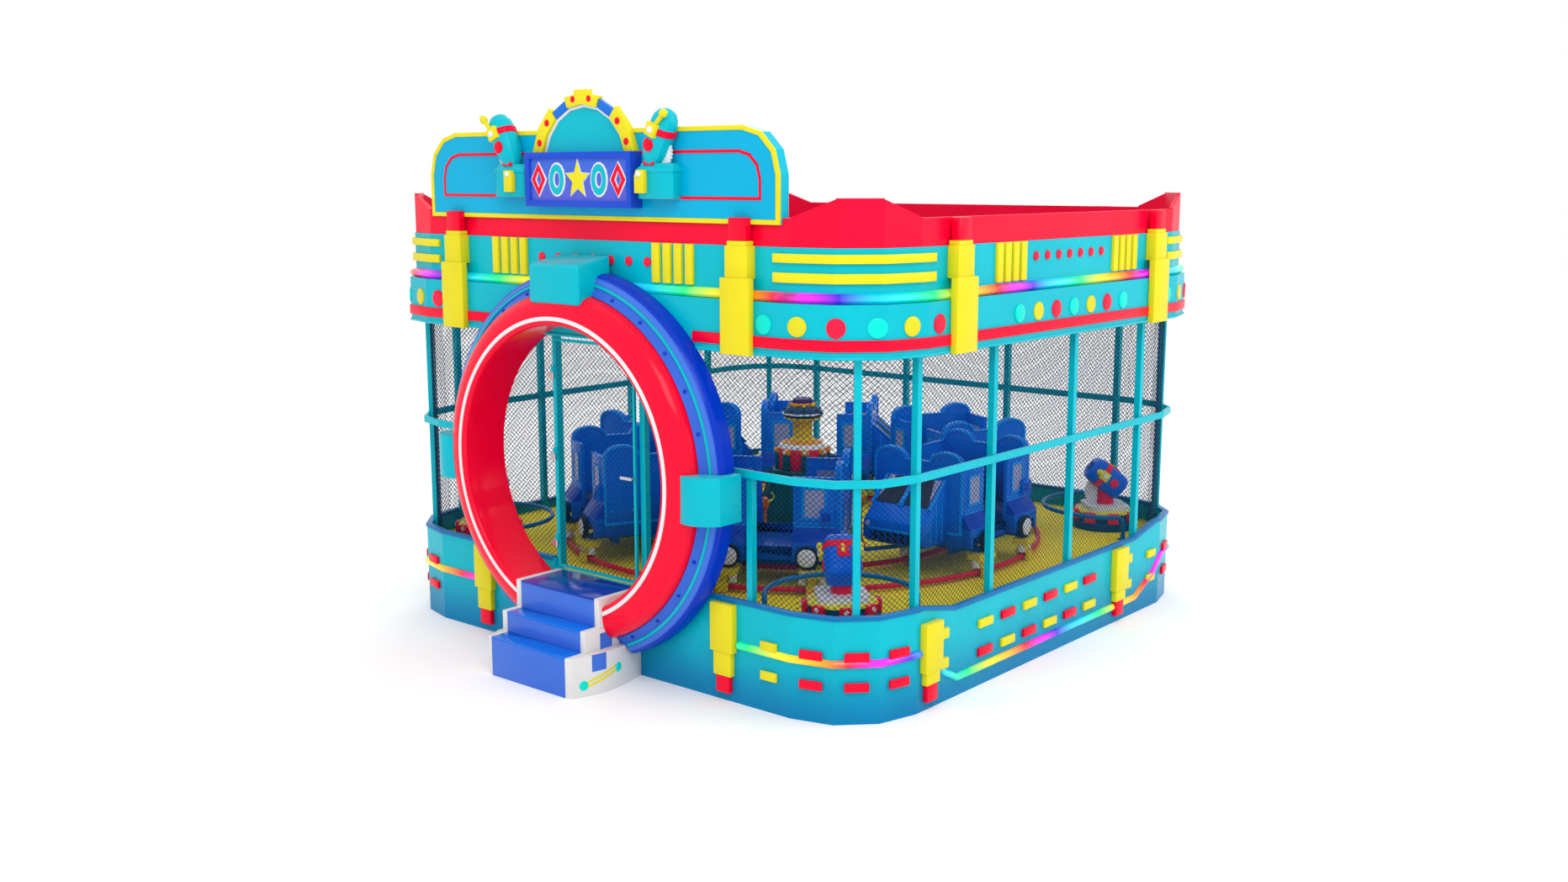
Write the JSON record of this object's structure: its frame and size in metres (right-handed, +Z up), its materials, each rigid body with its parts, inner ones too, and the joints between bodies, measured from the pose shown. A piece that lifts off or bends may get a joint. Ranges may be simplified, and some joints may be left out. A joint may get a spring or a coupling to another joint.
{
  "type": "enclosed merry-go-round",
  "caption": "Walk-in merry-go-round: a ring of linked cars on circular floor rails inside a square netted room with a round entrance, steps, gate and sign board",
  "frame": {"origin": "on the ground, at the centre of the square room", "axes": "+Z up, the round entrance and its steps face -Y, +X is to the right of someone looking in"},
  "size_m": [6.264, 6.852, 5.131],
  "materials": {
    "blue_plastic": "gloss",
    "cyan_paint": "gloss",
    "deck_sheet": "satin",
    "lamp_cover": "diffusing cover",
    "pin_steel": "brushed",
    "red_paint": "gloss",
    "red_plastic": "gloss",
    "roller_white": "satin",
    "seat_plastic": "gloss",
    "sky_plastic": "gloss",
    "steel_grey": "satin",
    "teal_plastic": "gloss",
    "tyre_black": "satin",
    "white_plastic": "gloss",
    "window_sheet": "tinted sheet",
    "wire_net": "coated wire",
    "yellow_paint": "gloss",
    "yellow_plastic": "gloss"
  },
  "bodies": {
    "enclosure": {"claw_posts": "yellow_plastic", "cornice": "red_paint", "deck": "deck_sheet", "fascia_lower": "cyan_paint", "fascia_pilasters": "yellow_paint", "fascia_upper": "cyan_paint", "fence_posts": "cyan_paint", "fence_rails": "cyan_paint", "figure_bases": "white_plastic", "figure_rockets": "yellow_plastic", "floor_frame": "steel_grey", "gate_hinges": "pin_steel", "guard_rails": "blue_plastic", "inner_rail": "red_paint", "light_strips": "lamp_cover", "net_panels": "wire_net", "outer_rail": "red_paint", "portal_clamps": "sky_plastic", "portal_ring": "blue_plastic", "portal_tunnel": "red_plastic", "sign_arch": "white_plastic", "sign_board": "sky_plastic", "sign_box": "blue_plastic", "sign_ornaments": "white_plastic", "skirt_corners": "cyan_paint", "skirt_pilasters": "yellow_paint", "skirt_sides": "cyan_paint", "step_sides": "white_plastic", "step_treads": "blue_plastic", "top_beam": "steel_grey", "tower_base": "teal_plastic", "tower_drum": "red_plastic", "tower_top": "sky_plastic"},
    "gate": {"gate_frame": "cyan_paint", "gate_net": "wire_net"},
    "latch": {"gate_latch": "pin_steel"},
    "ride": {"car_1_shell": "blue_plastic", "car_2_shell": "blue_plastic", "car_3_shell": "blue_plastic", "car_4_shell": "blue_plastic", "car_5_shell": "blue_plastic", "car_6_shell": "blue_plastic", "car_seats": "seat_plastic", "car_windows": "window_sheet", "car_chassis": "steel_grey", "drive_motors": "steel_grey", "bogie_yokes": "yellow_plastic", "bogie_rollers": "roller_white"},
    "car_1_front_axle": {"car_1_front_wheels": "tyre_black"},
    "car_1_rear_axle": {"car_1_rear_wheels": "tyre_black"},
    "car_2_front_axle": {"car_2_front_wheels": "tyre_black"},
    "car_2_rear_axle": {"car_2_rear_wheels": "tyre_black"},
    "car_3_front_axle": {"car_3_front_wheels": "tyre_black"},
    "car_3_rear_axle": {"car_3_rear_wheels": "tyre_black"},
    "car_4_front_axle": {"car_4_front_wheels": "tyre_black"},
    "car_4_rear_axle": {"car_4_rear_wheels": "tyre_black"},
    "car_5_front_axle": {"car_5_front_wheels": "tyre_black"},
    "car_5_rear_axle": {"car_5_rear_wheels": "tyre_black"},
    "car_6_front_axle": {"car_6_front_wheels": "tyre_black"},
    "car_6_rear_axle": {"car_6_rear_wheels": "tyre_black"}
  },
  "joints": [
    {"name": "gate_hinge", "type": "hinge", "parent": "enclosure", "child": "gate", "pos_m": [-0.515, -2.9575, 1.9], "axis": [0, 0, -1], "range_deg": [0, 95]},
    {"name": "latch_turn", "type": "hinge", "parent": "gate", "child": "latch", "pos_m": [0.5025, -2.9625, 1.78535], "axis": [0, -1, 0], "range_deg": [0, 45]},
    {"name": "ride_turn", "type": "hinge", "parent": "enclosure", "child": "ride", "pos_m": [0, 0, 0.75], "axis": [0, 0, -1], "continuous": true},
    {"name": "car_1_front_wheels_spin", "type": "hinge", "parent": "ride", "child": "car_1_front_axle", "pos_m": [0.65913, -1.73865, 1.044], "axis": [0.527, -0.8499, 0], "continuous": true},
    {"name": "car_1_rear_wheels_spin", "type": "hinge", "parent": "ride", "child": "car_1_rear_axle", "pos_m": [1.26426, -1.36346, 1.044], "axis": [0.527, -0.8499, 0], "continuous": true},
    {"name": "car_2_front_wheels_spin", "type": "hinge", "parent": "ride", "child": "car_2_front_axle", "pos_m": [1.83528, -0.2985, 1.044], "axis": [0.9995, 0.0314, 0], "continuous": true},
    {"name": "car_2_rear_wheels_spin", "type": "hinge", "parent": "ride", "child": "car_2_rear_axle", "pos_m": [1.81292, 0.41315, 1.044], "axis": [0.9995, 0.0314, 0], "continuous": true},
    {"name": "car_3_front_wheels_spin", "type": "hinge", "parent": "ride", "child": "car_3_front_axle", "pos_m": [1.17615, 1.44015, 1.044], "axis": [0.4726, 0.8813, 0], "continuous": true},
    {"name": "car_3_rear_wheels_spin", "type": "hinge", "parent": "ride", "child": "car_3_rear_axle", "pos_m": [0.54866, 1.77661, 1.044], "axis": [0.4726, 0.8813, 0], "continuous": true},
    {"name": "car_4_front_wheels_spin", "type": "hinge", "parent": "ride", "child": "car_4_front_axle", "pos_m": [-0.65913, 1.73865, 1.044], "axis": [-0.527, 0.8499, 0], "continuous": true},
    {"name": "car_4_rear_wheels_spin", "type": "hinge", "parent": "ride", "child": "car_4_rear_axle", "pos_m": [-1.26426, 1.36346, 1.044], "axis": [-0.527, 0.8499, 0], "continuous": true},
    {"name": "car_5_front_wheels_spin", "type": "hinge", "parent": "ride", "child": "car_5_front_axle", "pos_m": [-1.83528, 0.2985, 1.044], "axis": [-0.9995, -0.0314, 0], "continuous": true},
    {"name": "car_5_rear_wheels_spin", "type": "hinge", "parent": "ride", "child": "car_5_rear_axle", "pos_m": [-1.81292, -0.41315, 1.044], "axis": [-0.9995, -0.0314, 0], "continuous": true},
    {"name": "car_6_front_wheels_spin", "type": "hinge", "parent": "ride", "child": "car_6_front_axle", "pos_m": [-1.17615, -1.44015, 1.044], "axis": [-0.4726, -0.8813, 0], "continuous": true},
    {"name": "car_6_rear_wheels_spin", "type": "hinge", "parent": "ride", "child": "car_6_rear_axle", "pos_m": [-0.54866, -1.77661, 1.044], "axis": [-0.4726, -0.8813, 0], "continuous": true}
  ]
}
